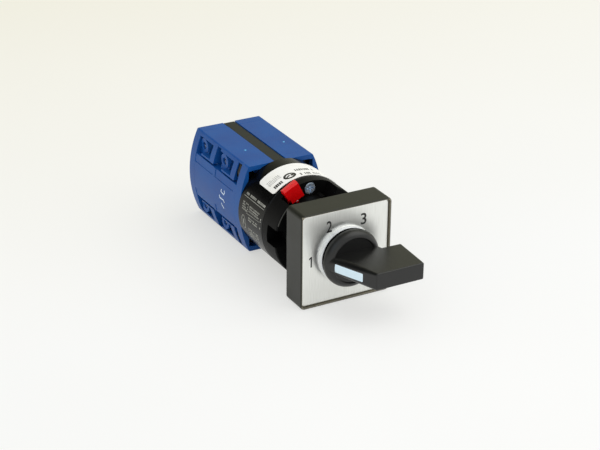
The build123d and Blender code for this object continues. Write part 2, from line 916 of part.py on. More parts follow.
for stage in range(stage_count):
    front = stage_front + stage * stage_length
    back = front + stage_length
    with BuildPart() as stage_housing:
        with BuildSketch(across(back)):
            add(stack_section())
        extrude(amount=stage_length)
        # above and below the plain middle panel come a faint step, a groove, a thin lip that
        # stops short of the back, and the field with the wire entry
        for level in (-1, 1):
            for depth, low, high, start in (
                (band_depth, band_low, slot_low, band_start),
                (field_depth, slot_low, lip_low, slot_length),
                (field_depth, slot_low, lip_high, lip_length),
                (field_depth, lip_high, entry_high, entry_front),
            ):
                with BuildSketch(across(back)):
                    add(stack_skin(depth, *outward(level, low, high)[::level]))
                extrude(amount=stage_length - start, mode=Mode.SUBTRACT)
        # round bosses hold the terminal screws
        for side, level in QUARTERS:
            with BuildSketch(beside(side, strip_inner, front + boss_middle, level * terminal_height)):
                Circle(boss_outer)
            extrude(amount=boss_out)
        # cam cavity, open to the front, and the bearing hole for the cam's hub
        with BuildSketch(across(back - stage_floor)):
            Circle(cam_cavity)
        extrude(amount=stage_length - stage_floor, mode=Mode.SUBTRACT)
        with BuildSketch(across(back)):
            Circle(hub_radius + fit)
        extrude(amount=stage_length, mode=Mode.SUBTRACT)
        # on each side a guide for the plunger, and the contact chamber behind the middle panel
        for _, side in SIDES:
            block(
                outward(side, 0, strip_inner),
                (front, front + contact_offset + plunger_width / 2 + slide),
                both_ways(plunger_height / 2 + slide),
                mode=Mode.SUBTRACT,
            )
            chamber_inner = strip_inner - play
            with BuildSketch(across(front + chamber_back)):
                add(stack_section(panel_wall))
                with Locations((side * (chamber_inner + stack_width) / 2, 0)):
                    Rectangle(
                        stack_width - chamber_inner,
                        2 * chamber_half_height,
                        mode=Mode.INTERSECT,
                    )
            extrude(amount=chamber_back, mode=Mode.SUBTRACT)
        for side, level in QUARTERS:
            # seat for the terminal strip
            block(
                outward(side, chamber_inner, strip_outer),
                (front + entry_front, front + boss_middle + strip_overhang + strip_margin),
                outward(level, contact_height, entry_high - strip_margin),
                mode=Mode.SUBTRACT,
            )
            # wire entry
            block(
                outward(side, strip_inner, stack_width),
                (front + entry_front, front + entry_back),
                outward(level, lip_high, entry_high),
                mode=Mode.SUBTRACT,
            )
            # the screw's hole: narrow behind the strip, wide round its head, and narrow again
            # for the driver, so that the screw stays in
            head_room = strip_thickness + terminal_head_height
            for out, radius, length in (
                (strip_inner - terminal_hole_depth, terminal_shank_radius, terminal_hole_depth),
                (strip_inner, terminal_head_radius, head_room + play),
                (strip_inner + head_room, driver_hole_radius, stack_width),
            ):
                with BuildSketch(beside(side, out, front + boss_middle, level * terminal_height)):
                    Circle(radius + play)
                extrude(amount=length, mode=Mode.SUBTRACT)
            # slot at the front that takes a prong
            block(
                outward(side, prong_inner - slide, stack_width),
                (front, front + slot_length),
                outward(level, slot_low, stack_height / 2 - slot_roof),
                mode=Mode.SUBTRACT,
            )
        strap_channels((front - past, back + past))
    save(stage_housing, f"stage_housing_{stage + 1}")

with BuildPart() as rear_cap:
    with BuildSketch(across(stack_back)):
        add(stack_section())
    extrude(amount=rear_cap_length)
    with BuildSketch(across(stack_back - pin_floor)):
        Circle(pin_radius + fit)
    extrude(amount=rear_cap_length, mode=Mode.SUBTRACT)
    strap_channels((cap_front - past, stack_back + past))
    for level in (-1, 1):
        block(
            both_ways(strap_width / 2 + slide),
            (stack_back - strap_foot - play, stack_back + past),
            outward(level, strap_outer - strap_foot_reach, stack_height),
            mode=Mode.SUBTRACT,
        )
save(rear_cap, "rear_cap")

for name, level in (("strap_top", 1), ("strap_bottom", -1)):
    with BuildPart() as strap:
        for start, stop, inner in (
            (housing_back, stack_back, strap_inner),
            (stack_back - strap_foot, stack_back, strap_outer - strap_foot_reach + slide),
            (
                housing_back + strap_hook_start,
                housing_back + strap_hook_start + strap_hook,
                housing_spigot - strap_hook_reach,
            ),
        ):
            block(both_ways(strap_width / 2), (start, stop), outward(level, inner, strap_outer))
    save(strap, name)

# ---------------------------------------------------------------- contacts

for stage in range(stage_count):
    front = stage_front + stage * stage_length
    contact_y = front + contact_offset
    for side_name, side in SIDES:
        # the first stage's cam holds its right plunger out, the second stage's its left one
        held_out = cam_lift if (side == 1) == (stage == 0) else 0.0
        name_end = f"{stage + 1}_{side_name}"
        shoulder = bridge_closed + held_out
        shoulder_plane = beside(side, shoulder, contact_y, 0)

        with BuildPart() as plunger:
            block(
                outward(side, cam_low + plunger_gap + held_out, shoulder),
                (contact_y - plunger_width / 2, contact_y + plunger_width / 2),
                both_ways(plunger_height / 2),
            )
            tip_face = plunger.faces().sort_by(Axis.X)[0 if side == 1 else -1]
            fillet(tip_face.edges().filter_by(Axis.Y), plunger_tip)
            with BuildSketch(shoulder_plane):
                Circle(plunger_pin_radius)
            extrude(amount=plunger_pin_length)
        save(plunger, f"plunger_{name_end}")

        with BuildPart() as contact_bridge:
            with BuildSketch(shoulder_plane):
                RectangleRounded(bridge_width, 2 * bridge_half_length, bridge_corner)
                Circle(plunger_pin_radius + touch, mode=Mode.SUBTRACT)
            extrude(amount=bridge_thickness)
            with BuildSketch(shoulder_plane):
                with Locations((0, contact_height), (0, -contact_height)):
                    Circle(rivet_radius)
            extrude(amount=-rivet_height)
        save(contact_bridge, f"contact_bridge_{name_end}")

        spring_near = shoulder + bridge_thickness + spring_wire + touch
        spring_far = stack_width / 2 - panel_wall - spring_wire - 2 * touch
        spring_height = spring_far - spring_near
        contact_spring = coil_spring(
            (side * spring_near, contact_y, 0),
            (side, 0, 0),
            spring_radius,
            spring_height / spring_turns,
            spring_height,
        )
        save(contact_spring, f"contact_spring_{name_end}")

        for level_name, level in LEVELS:
            screw_y = front + boss_middle
            screw_z = level * terminal_height
            with BuildPart() as terminal:
                for stop, low, high in (
                    (contact_y + strip_half_width, contact_height - rivet_radius, lip_high),
                    (screw_y + strip_overhang, lip_low, entry_high - 2 * strip_margin),
                ):
                    block(
                        outward(side, strip_inner, strip_outer),
                        (contact_y - strip_half_width, stop),
                        outward(level, low, high),
                    )
                with BuildSketch(beside(side, strip_inner, screw_y, screw_z)):
                    Circle(terminal_shank_radius + play)
                extrude(amount=strip_thickness, mode=Mode.SUBTRACT)
                with BuildSketch(beside(side, strip_inner, contact_y, level * contact_height)):
                    Circle(rivet_radius)
                extrude(amount=strip_thickness + rivet_height)
            save(terminal, f"terminal_{name_end}_{level_name}")

            screw_plane = beside(side, strip_outer, screw_y, screw_z)
            with BuildPart() as terminal_screw:
                for radius, length in (
                    (terminal_head_radius, terminal_flange_height),
                    (terminal_neck_radius, terminal_head_height),
                    (terminal_shank_radius, -terminal_shank_length),
                ):
                    with BuildSketch(screw_plane):
                        Circle(radius)
                    extrude(amount=length)
                with BuildSketch(screw_plane.offset(terminal_head_height - driver_slot_depth)):
                    Rectangle(2 * terminal_head_radius, driver_slot_width)
                extrude(amount=2 * driver_slot_depth, mode=Mode.SUBTRACT)
            save(terminal_screw, f"terminal_screw_{name_end}_{level_name}")
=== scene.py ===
# %% [markdown]
# # A cam switch for a control panel
#
# This lesson dresses a finished CAD model of a rotary cam switch: a black pointer handle on
# a square numbered dial, a round neck that clamps in a panel, a black drum and two blue
# contact stages. The solids come from CAD with their joints, so nothing here moves them.
# Each step adds a finish or a piece that the solids lack, such as rounded moulding edges,
# brushed metal, print, and copies of the springs. Everything is in metres, in the CAD frame:
# the dial faces -Y, the shaft runs along +Y and +Z is up.

# %% Load the CAD model as a fixed frame
import json
from math import cos, hypot, pi, radians, sin, sqrt, tan

import bmesh
import bpy
from mathutils import Matrix, Vector


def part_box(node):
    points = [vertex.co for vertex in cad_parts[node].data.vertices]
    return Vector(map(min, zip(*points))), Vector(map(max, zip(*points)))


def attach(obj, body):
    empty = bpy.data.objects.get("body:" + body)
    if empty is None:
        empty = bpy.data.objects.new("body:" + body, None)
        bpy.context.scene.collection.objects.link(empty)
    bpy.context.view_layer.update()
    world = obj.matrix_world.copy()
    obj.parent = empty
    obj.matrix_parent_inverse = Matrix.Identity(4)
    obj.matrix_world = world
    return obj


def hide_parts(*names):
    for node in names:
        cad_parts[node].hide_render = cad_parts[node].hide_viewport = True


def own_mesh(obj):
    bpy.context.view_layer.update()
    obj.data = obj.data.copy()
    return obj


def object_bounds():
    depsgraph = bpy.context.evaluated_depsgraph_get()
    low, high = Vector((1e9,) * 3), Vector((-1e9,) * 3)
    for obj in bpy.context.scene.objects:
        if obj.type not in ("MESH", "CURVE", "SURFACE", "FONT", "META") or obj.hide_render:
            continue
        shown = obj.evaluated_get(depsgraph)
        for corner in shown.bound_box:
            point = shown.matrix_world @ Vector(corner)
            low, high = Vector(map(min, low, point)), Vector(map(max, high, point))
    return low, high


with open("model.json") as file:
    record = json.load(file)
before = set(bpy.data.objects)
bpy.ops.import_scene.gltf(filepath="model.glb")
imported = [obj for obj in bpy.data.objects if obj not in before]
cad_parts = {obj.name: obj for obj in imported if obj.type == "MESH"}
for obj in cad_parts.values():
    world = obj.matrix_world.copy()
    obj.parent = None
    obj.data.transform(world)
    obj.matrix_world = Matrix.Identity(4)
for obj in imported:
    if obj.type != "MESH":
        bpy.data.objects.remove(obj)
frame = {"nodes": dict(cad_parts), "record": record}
cad_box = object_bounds()
nodes = frame["nodes"]
mm = 0.001
size = (cad_box[1] - cad_box[0]) / mm
print(f"{len(nodes)} CAD nodes, {size.x:.1f} x {size.y:.1f} x {size.z:.1f} mm")

# %% [markdown]
# ## Camera
#
# The switch lies on a table and is seen from above its left front corner. A long lens keeps
# its edges nearly parallel. The camera gets its turn from two directions, the one it looks
# along and the one that is up in the view, because that also sets its slight roll.

# %% Place the camera
camera_place = Vector((-0.21993, -0.37951, 0.21365))
look_along = Vector((0.4363, 0.7911, -0.4287)).normalized()
view_up = Vector((0.1999, 0.3793, 0.9034))
view_right = look_along.cross(view_up).normalized()
view_up = view_right.cross(look_along)

camera_data = bpy.data.cameras.new("table_camera")
camera_data.lens = 99.5
camera_data.sensor_width = 36.0
camera = bpy.data.objects.new("table_camera", camera_data)
turn = Matrix((view_right, view_up, -look_along)).transposed()
camera.matrix_world = Matrix.Translation(camera_place) @ turn.to_4x4()
bpy.context.scene.collection.objects.link(camera)
bpy.context.scene.camera = camera
print(f"camera {camera_place.length / mm:.0f} mm from the panel face")

# %% [markdown]
# ## Node helpers
#
# A material is a small graph of nodes. One helper adds a node and fills its inputs, with
# numbers, colours or the outputs of other nodes, so that each finish below reads as a short
# list. Colours are given as they look on a screen, and turned into the linear values that
# Blender calculates with.

# %% Helpers that build material nodes
def linear(red, green, blue):
    """A linear colour from screen values of 0 to 255."""
    shares = [value / 255 for value in (red, green, blue)]
    curve = [s / 12.92 if s <= 0.04045 else ((s + 0.055) / 1.055) ** 2.4 for s in shares]
    return (*curve, 1.0)


def put(tree, kind, inputs, **settings):
    """Adds a node. An input is a number, a colour or the output of another node."""
    made = tree.nodes.new(kind)
    for name, value in settings.items():
        setattr(made, name, value)
    for name, value in inputs.items():
        if isinstance(value, bpy.types.NodeSocket):
            tree.links.new(value, made.inputs[name])
        else:
            made.inputs[name].default_value = value
    return made


def start_finish(name, **even):
    """A new material with its tree and shader. even holds what is the same all over."""
    material = bpy.data.materials.new(name)
    material.use_nodes = True
    tree = material.node_tree
    shader = tree.nodes["Principled BSDF"]
    for socket, value in even.items():
        shader.inputs[socket.replace("_", " ")].default_value = value
    return material, tree, shader


def object_place(tree, stretch=(1.0, 1.0, 1.0)):
    """Object coordinates, squeezed along some axes to draw a pattern out along the others."""
    place = put(tree, "ShaderNodeTexCoord", {}).outputs["Object"]
    if stretch == (1.0, 1.0, 1.0):
        return place
    return put(tree, "ShaderNodeMapping", {"Vector": place, "Scale": stretch}).outputs["Vector"]


print("node helpers ready")

# %% [markdown]
# ## Noise, shades and relief
#
# Nearly every finish below starts from noise. It can be stretched between two values for
# the polish, between two colours for the shade, or used as a height for a fine relief.
# Noise stays near one half, so its middle part is spread over the whole range.

# %% Helpers that turn noise into a finish
def clouds(tree, place, grain, detail=3.0):
    """Noise whose patches are about this large, in metres."""
    inputs = {"Vector": place, "Scale": 1 / grain, "Detail": detail}
    return put(tree, "ShaderNodeTexNoise", inputs).outputs["Fac"]


def ranged(tree, value, start, end, low, high):
    """Turns a value between start and end into one between low and high."""
    inputs = {"Value": value, "From Min": start, "From Max": end, "To Min": low, "To Max": high}
    return put(tree, "ShaderNodeMapRange", inputs).outputs["Result"]


def between(tree, value, low, high, spread=0.25):
    """Turns noise, which stays near one half, into numbers between low and high."""
    return ranged(tree, value, 0.5 - spread, 0.5 + spread, low, high)


def blended(tree, share, first, second):
    """A colour between two others, all second where the share is 1."""
    inputs = {0: share, 6: first, 7: second}
    return put(tree, "ShaderNodeMix", inputs, data_type="RGBA").outputs[2]


def shades(tree, value, dark, light, spread=0.2):
    """Turns noise into colours between two shades."""
    ramp = put(tree, "ShaderNodeValToRGB", {"Fac": value})
    ends = ramp.color_ramp.elements
    ends[0].position, ends[0].color = 0.5 - spread, dark
    ends[1].position, ends[1].color = 0.5 + spread, light
    return ramp.outputs["Color"]


def relief(tree, shader, height, depth):
    """Gives the shader a bump of this depth, in metres."""
    bump = put(tree, "ShaderNodeBump", {"Height": height, "Distance": depth, "Strength": 1.0})
    tree.links.new(bump.outputs["Normal"], shader.inputs["Normal"])


print("noise helpers ready")

# %% [markdown]
# ## Moulded plastics
#
# Bezel, handle, drum, stages, straps and latch are all injection moulded. Such a surface
# is never quite even: the colour drifts a little over centimetres, the polish of the mould
# varies, and a fine spark-eroded grain of a tenth of a millimetre dulls it. One recipe
# makes them all, because they differ only in shade, polish and grain.

# %% Recipe for moulded plastic and the plastics made with it
def moulded(name, dark, light, polish, grain=0.00012, grain_depth=0.000006, **even):
    """Plastic between two close shades, with its roughness between the two polish values."""
    material, tree, shader = start_finish(name, **even)
    place = object_place(tree)
    drift = clouds(tree, place, 0.009, 4.0)
    speckle = clouds(tree, place, grain, 2.0)
    tree.links.new(shades(tree, drift, linear(*dark), linear(*light)), shader.inputs["Base Color"])
    tree.links.new(between(tree, drift, *polish), shader.inputs["Roughness"])
    relief(tree, shader, speckle, grain_depth)
    return material


finishes = {
    "bezel_plastic": moulded("bezel_plastic", (23, 24, 14), (30, 31, 20), (0.42, 0.52)),
    "handle_plastic": moulded(
        "handle_plastic", (6, 6, 6), (11, 11, 10), (0.3, 0.38), Specular_IOR_Level=0.55
    ),
    "housing_plastic": moulded(
        "housing_plastic", (4, 4, 4), (8, 8, 7), (0.2, 0.28), Specular_IOR_Level=0.2
    ),
    "blue_plastic": moulded(
        "blue_plastic", (10, 72, 146), (22, 86, 158), (0.36, 0.46), Specular_IOR_Level=0.25
    ),
    "strap_plastic": moulded("strap_plastic", (19, 24, 18), (26, 31, 24), (0.5, 0.6)),
    "red_plastic": moulded("red_plastic", (220, 3, 8), (236, 8, 14), (0.2, 0.28)),
    "pointer_plastic": moulded("pointer_plastic", (220, 242, 254), (232, 248, 255), (0.3, 0.4)),
    "cam_nylon": moulded("cam_nylon", (222, 218, 202), (233, 229, 214), (0.45, 0.55)),
    "gasket_rubber": moulded(
        "gasket_rubber", (26, 26, 26), (36, 36, 35), (0.8, 0.9), grain=0.0003, grain_depth=0.00002
    ),
}
ring_plastic = moulded("ring_plastic", (4, 4, 4), (8, 8, 8), (0.45, 0.6), Specular_IOR_Level=0.12)
# A light grey that paints light onto black plastic: the highlight on the dial's lip and the light
# on the pocket rib.
painted_light_plastic = moulded("painted_light_plastic", (112, 107, 92), (134, 128, 111), (0.24, 0.32))
# A grey for a painted highlight along the edge of the ring.
edge_glint_plastic = moulded("edge_glint_plastic", (52, 52, 48), (66, 65, 60), (0.3, 0.4))
# A light blue for the painted highlights on the two ejector spots.
spot_glint_plastic = moulded("spot_glint_plastic", (84, 178, 228), (104, 194, 238), (0.3, 0.4))
print(f"{len(finishes)} moulded finishes")

# %% [markdown]
# ## Metals and film
#
# The dial is brushed aluminium: its scratches run from top to bottom, so the noise that
# makes them is drawn out along Z. Screws are zinc plated, with a bluish tint and a faint
# cloudiness, and springs and the shaft are drawn steel, the shaft with fine lines along the
# draw. The contacts are stamped brass. The label is a printed film, smooth and slightly yellowed.

# %% Brushed and plated metals
def brushed(name, dark, light, polish, stretch, grain, depth, Metallic=1.0):
    """Metal whose fine lines run along the axis that stretch leaves long."""
    material, tree, shader = start_finish(name, Metallic=Metallic)
    lines = clouds(tree, object_place(tree, stretch), grain, 4.0)
    haze = clouds(tree, object_place(tree), 0.006)
    tree.links.new(shades(tree, lines, linear(*dark), linear(*light)), shader.inputs["Base Color"])
    tree.links.new(between(tree, haze, *polish), shader.inputs["Roughness"])
    relief(tree, shader, lines, depth)
    return material


finishes["dial_aluminium"] = brushed(
    "dial_aluminium", (228, 229, 224), (247, 248, 245), (0.28, 0.35), (1, 1, 0.02), 0.0001, 3e-6
)
collar_aluminium = brushed(
    "collar_aluminium", (238, 240, 244), (250, 251, 253), (0.4, 0.5), (1, 0.2, 1), 0.0003, 2e-6, 0.5
)
finishes["zinc_steel"] = brushed(
    "zinc_steel", (192, 216, 242), (238, 247, 255), (0.2, 0.32), (1, 1, 1), 0.0008, 8e-6, 0.65
)
finishes["shaft_steel"] = brushed(
    "shaft_steel", (176, 178, 182), (204, 206, 210), (0.3, 0.4), (1, 0.03, 1), 0.0001, 5e-6
)
finishes["spring_steel"] = brushed(
    "spring_steel", (150, 150, 152), (190, 190, 192), (0.25, 0.35), (1, 1, 1), 0.0004, 4e-6
)
finishes["contact_brass"] = brushed(
    "contact_brass", (206, 172, 100), (226, 194, 122), (0.25, 0.4), (1, 0.05, 1), 0.0001, 4e-6
)
print(f"{len(finishes)} finishes with the metals")

# %% Printed film and inks
def film(name, dark, light, polish):
    """A smooth printed layer, such as a label or ink."""
    material, tree, shader = start_finish(name)
    patches = clouds(tree, object_place(tree), 0.003)
    tree.links.new(
        shades(tree, patches, linear(*dark), linear(*light)), shader.inputs["Base Color"]
    )
    tree.links.new(between(tree, patches, *polish), shader.inputs["Roughness"])
    relief(tree, shader, patches, 4e-6)
    return material


finishes["label_film"] = film("label_film", (250, 248, 240), (255, 254, 249), (0.4, 0.5))
black_ink = film("black_ink", (14, 14, 14), (24, 24, 23), (0.45, 0.55))
grey_ink = film("grey_ink", (96, 96, 88), (132, 131, 122), (0.45, 0.55))
dark_ink = film("dark_ink", (36, 36, 32), (54, 53, 48), (0.45, 0.55))
silver_ink = film("silver_ink", (142, 142, 132), (174, 174, 164), (0.4, 0.5))
white_ink = film("white_ink", (205, 222, 240), (228, 240, 250), (0.4, 0.5))
print(f"{len(finishes)} finishes for the CAD nodes, 5 inks")

# %% [markdown]
# ## Finish every CAD node
#
# The CAD record says which material slot each node has. Its object's own material slot gets
# the finish of that name, and nothing else about the node changes.

# %% Assign the finishes
node_slot = {part["node"]: part["material_slot"] for part in frame["record"]["subparts"]}
bodies = frame["record"]["behaviour"]["bodies"]
node_body = {node: body for body, members in bodies.items() for node in members}
for name, node in nodes.items():
    for slot in node.material_slots:
        slot.material = finishes[node_slot[name]]
print("finished nodes:", len(node_slot))

# %% [markdown]
# ## Round the moulding edges
#
# A real moulding has no knife edges: each one is rounded by a tenth or two of a millimetre
# and catches a thin line of light. The CAD solids keep theirs sharp. So each outer shell is
# copied, its loose triangles are merged and flattened into whole faces, and a Bevel
# modifier rounds every edge that turns by more than 30 degrees. The copy then stands for
# the node.

# %% Helpers that show a piece and apply its modifiers
def show(mesh, name, body):
    """Puts a finished mesh in the scene, riding on a CAD body."""
    piece = bpy.data.objects.new(name, mesh)
    bpy.context.scene.collection.objects.link(piece)
    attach(piece, body)
    return piece


def applied(piece):
    """The piece's mesh with its modifiers applied. The piece itself is removed."""
    depsgraph = bpy.context.evaluated_depsgraph_get()
    mesh = bpy.data.meshes.new_from_object(piece.evaluated_get(depsgraph))
    bpy.data.objects.remove(piece)
    return mesh


print("piece helpers ready")

# %% Rounded copies of the outer shells
def whole_faces(node):
    """A copy of a CAD node's mesh, merged, with its flat faces whole."""
    mesh = node.data.copy()
    if "custom_normal" in mesh.attributes:
        mesh.attributes.remove(mesh.attributes["custom_normal"])
    work = bmesh.new()
    work.from_mesh(mesh)
    bmesh.ops.remove_doubles(work, verts=work.verts, dist=1e-7)
    bmesh.ops.dissolve_limit(work, angle_limit=radians(0.5), verts=work.verts, edges=work.edges)
    work.to_mesh(mesh)
    work.free()
    return mesh


def eased(name, width, segments=2, crease=30.0, reshape=None):
    """Stands a copy with rounded edges in for a CAD node. reshape may change its mesh first."""
    rough = bpy.data.objects.new(f"{name}_rough", whole_faces(nodes[name]))
    bpy.context.scene.collection.objects.link(rough)
    if reshape:
        reshape(rough.data)
    rough.data.shade_smooth()
    bevel = rough.modifiers.new("rounding", "BEVEL")
    bevel.width = width
    bevel.segments = segments
    bevel.limit_method = "ANGLE"
    bevel.angle_limit = radians(crease)
    bevel.use_clamp_overlap = True
    even = rough.modifiers.new("even_shading", "WEIGHTED_NORMAL")
    even.mode = "FACE_AREA"
    even.weight = 100
    even.keep_sharp = True
    mesh = applied(rough)
    mesh.materials.clear()
    mesh.materials.append(finishes[node_slot[name]])
    piece = show(mesh, f"{name}_shell", node_body[name])
    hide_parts(name)
    return piece


edge_widths = {
    "bezel_frame": 0.2 * mm,
    "adapter_ring": 0.18 * mm,
    "latching_housing": 0.1 * mm,
    "front_plate": 0.15 * mm,
    "stage_housing_1": 0.15 * mm,
    "stage_housing_2": 0.15 * mm,
    "rear_cap": 0.15 * mm,
    "strap_top": 0.15 * mm,
    "strap_bottom": 0.15 * mm,
    "handle": 0.18 * mm,
}
shells = {name: eased(name, width) for name, width in edge_widths.items()}
for name, shell in shells.items():
    print(f"{shell.name}: {len(shell.data.polygons)} faces")

# %% [markdown]
# ## Exceptions in black
#
# The ring that takes the latch is a duller black than the glossy drum behind it, and on part
# of its front edge a thin grey line is a painted highlight. The narrow lip round the dial is
# painted grey as a highlight too. Both greys cover only some faces of a piece, so each mesh
# gets a second material, and a test on each face's centre picks the faces that use it.

# %% Dull ring with a painted highlight on its edge
ring_mesh = shells["adapter_ring"].data
ring_mesh.materials[0] = ring_plastic
# The second material is grey: a painted highlight along part of the ring's front edge.
ring_mesh.materials.append(edge_glint_plastic)
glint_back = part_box("adapter_ring")[0].y + 0.2 * mm
glint_inside = 14.35 * mm
glint_from, glint_to = tan(radians(44)), tan(radians(71))
glint_faces = 0
for face in ring_mesh.polygons:
    x, y, z = face.center
    on_edge = y < glint_back and glint_inside < hypot(x, z) and abs(face.normal.y) < 0.98
    if on_edge and glint_from * z < -x < glint_to * z:
        face.material_index = 1
        glint_faces += 1
print(f"{glint_faces} faces of the ring's edge are worn")

# %% Lip round the dial with a painted highlight
bezel_mesh = shells["bezel_frame"].data
# The lip's front faces are painted light grey: a painted highlight for the light on its rounded
# front edge.
bezel_mesh.materials.append(painted_light_plastic)
lip_inside = -cad_box[0].x - 0.32 * mm
lip_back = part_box("bezel_frame")[0].y + 0.75 * mm
lip_highlight_faces = 0
for face in bezel_mesh.polygons:
    x, y, z = face.center
    if y < lip_back and max(abs(x), abs(z)) < lip_inside:
        face.material_index = 1
        lip_highlight_faces += 1
print(f"{lip_highlight_faces} faces of the lip are grey")

# %% [markdown]
# ## Rib beside the clamp screw
#
# A short curved rib stands on the drum's front beside the upper clamp screw. What it does on
# the real switch can't be seen, and it may only stiffen the pocket's back wall. It is a
# slice of a tube: four corners turned step by step about the shaft, closed at both ends,
# with its edges rounded like the rest. It is painted light grey, a painted highlight that
# stands for the light on the top of a black rib.

# %% Pocket rib
def tube_slice(name, inner, outer, angles, front, back, steps=10):
    """A closed slice of a tube about the shaft, between two angles in degrees."""
    work = bmesh.new()
    sections = []
    for step in range(steps + 1):
        angle = radians(angles[0] + (angles[1] - angles[0]) * step / steps)
        out = Vector((sin(angle), 0, cos(angle)))
        corners = ((inner, front), (outer, front), (outer, back), (inner, back))
        sections.append([work.verts.new(out * radius + Vector((0, y, 0))) for radius, y in corners])
    work.faces.new(sections[0])
    work.faces.new(sections[-1][::-1])
    for first, second in zip(sections, sections[1:]):
        for corner in range(4):
            after = (corner + 1) % 4
            work.faces.new((first[corner], second[corner], second[after], first[after]))
    bmesh.ops.recalc_face_normals(work, faces=work.faces)
    mesh = bpy.data.meshes.new(name)
    work.to_mesh(mesh)
    work.free()
    return mesh


housing_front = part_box("latching_housing")[0].y
rib_front, rib_back = housing_front - 3 * mm, housing_front + 0.2 * mm
rib_mesh = tube_slice("rib", 10.0 * mm, 10.7 * mm, (13, 30), rib_front, rib_back)
rib_rough = bpy.data.objects.new("rib_rough", rib_mesh)
bpy.context.scene.collection.objects.link(rib_rough)
rounding = rib_rough.modifiers.new("rounding", "BEVEL")
rounding.width = 0.12 * mm
rounding.segments = 2
# Light grey here is painted light, standing for the light on the top of a black rib.
rib_mesh.materials.append(painted_light_plastic)
rib = show(applied(rib_rough), "pocket_rib", "casing")
print(f"rib: {len(rib.data.polygons)} faces")

# %% [markdown]
# ## Release latch
#
# The red latch is pressed in to release the bezel. Its outer end is shaped to the finger: it
# slopes down towards the back. The copy of the CAD block has the back corners of that end
# moved before its edges are rounded. The latch leans to the left, so the corners are found
# and moved in a frame that is turned upright, and then turned back.

# %% Latch with its sloping end
latch_lean = radians(-27.0)
latch_turn = Matrix.Rotation(latch_lean, 3, "Y")
latch_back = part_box("release_latch")[1].y - 0.1 * mm
latch_outer_end = 14.5 * mm
left_forward, left_inward, right_forward = 0.6 * mm, 0.9 * mm, 1.3 * mm


def sloping_end(mesh):
    """Moves the back corners of the latch's outer end forward, and the left one inward."""
    for vertex in mesh.vertices:
        upright = latch_turn.inverted() @ vertex.co
        if vertex.co.y > latch_back and upright.z > latch_outer_end:
            left = upright.x < 0
            upright.y -= left_forward if left else right_forward
            upright.z -= left_inward if left else 0.0
            vertex.co = latch_turn @ upright


latch = eased("release_latch", 0.22 * mm, segments=3, reshape=sloping_end)
print(f"latch {latch.dimensions.x / mm:.1f} mm wide, {len(latch.data.polygons)} faces")

# %% [markdown]
# ## Coil springs
#
# Three coil springs are squeezed at a joint's limit: the one under the release latch, and two
# behind contact carriers that move outwards. A rigid coil would cut through the piece that
# presses it. Each one gets a copy of its own mesh in spring steel, and its length along the
# way it is pressed is measured.

# %% Copies of the springs
inwards = Vector((sin(-latch_lean), 0, -cos(latch_lean)))
pressed_springs = {
    "latch_spring": ("latch_press", inwards),
    "contact_spring_1_left": ("carrier_1_left_slide", Vector((-1, 0, 0))),
    "contact_spring_2_right": ("carrier_2_right_slide", Vector((1, 0, 0))),
}
for name, (joint, way) in pressed_springs.items():
    mesh = nodes[name].data.copy()
    mesh.materials.clear()
    mesh.materials.append(finishes["spring_steel"])
    coil = show(mesh, f"{name}_coil", "casing")
    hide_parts(name)
    depths = [vertex.co.dot(way) for vertex in mesh.vertices]
    length = max(depths) - min(depths)
    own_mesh(coil)

# %% [markdown]
# ## Dial plate
#
# The dial is a square of thin brushed aluminium with a hole for the handle. The press draws
# the rim of the hole forward into a short collar. Such a form is a stack of outlines: a
# rounded square at the edge, circles at the collar, and quads from each to the next. The
# stack runs once round the sheet's section, so the plate is one closed skin.
#
# The collar here is lower and narrower than the CAD one. The polished plate mirrors it, so
# the ring of light round the handle looks twice as wide as the collar is high.

# %% Helpers that skin a stack of outlines
def square_outline(half, corner, steps):
    """Points round a square with rounded corners, in the plane of the dial."""
    points = []
    for quarter in range(4):
        for step in range(steps + 1):
            angle = (quarter + step / steps) * pi / 2
            turn_x, turn_z = cos(angle), sin(angle)
            centre_x = (half - corner) * (1 if quarter in (0, 3) else -1)
            centre_z = (half - corner) * (1 if quarter in (0, 1) else -1)
            points.append(Vector((centre_x + corner * turn_x, 0, centre_z + corner * turn_z)))
        following = (quarter + 1) * pi / 2
        side = Vector((cos(following + pi / 2), 0, sin(following + pi / 2)))
        run = 2 * (half - corner)
        start = points[-1]
        points.extend([start + side * run * share / 9 for share in range(1, 9)])
    return points


def stacked(name, rings):
    """A closed skin through outlines with equal counts of points, last joined to first."""
    work = bmesh.new()
    loops = [[work.verts.new(point) for point in ring] for ring in rings]
    for loop, following in zip(loops, loops[1:] + loops[:1]):
        for index, vertex in enumerate(loop):
            after = (index + 1) % len(loop)
            work.faces.new((vertex, loop[after], following[after], following[index]))
    bmesh.ops.recalc_face_normals(work, faces=work.faces)
    mesh = bpy.data.meshes.new(name)
    work.to_mesh(mesh)
    work.free()
    return mesh


print("outline helpers ready")

# %% Sizes and outlines of the dial plate
plate_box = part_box("dial_plate")
plate_half = plate_box[1].x
plate_back = plate_box[1].y
plate_front = plate_back - 0.8 * mm
collar_front = plate_front - 1.4 * mm
collar_outer = 8.75 * mm
collar_inner = 8.4 * mm
foot = 0.2 * mm
edge = 0.45 * mm
outline = square_outline(plate_half, 1.0 * mm, 6)


def square_ring(inset, y):
    """The plate's outline at depth y, a little smaller all round."""
    share = (plate_half - inset) / plate_half
    return [Vector((point.x * share, y, point.z * share)) for point in outline]


def round_ring(radius, y):
    """A circle at depth y, with a point for each of the outline's."""
    return [point.normalized() * radius + Vector((0, y, 0)) for point in outline]


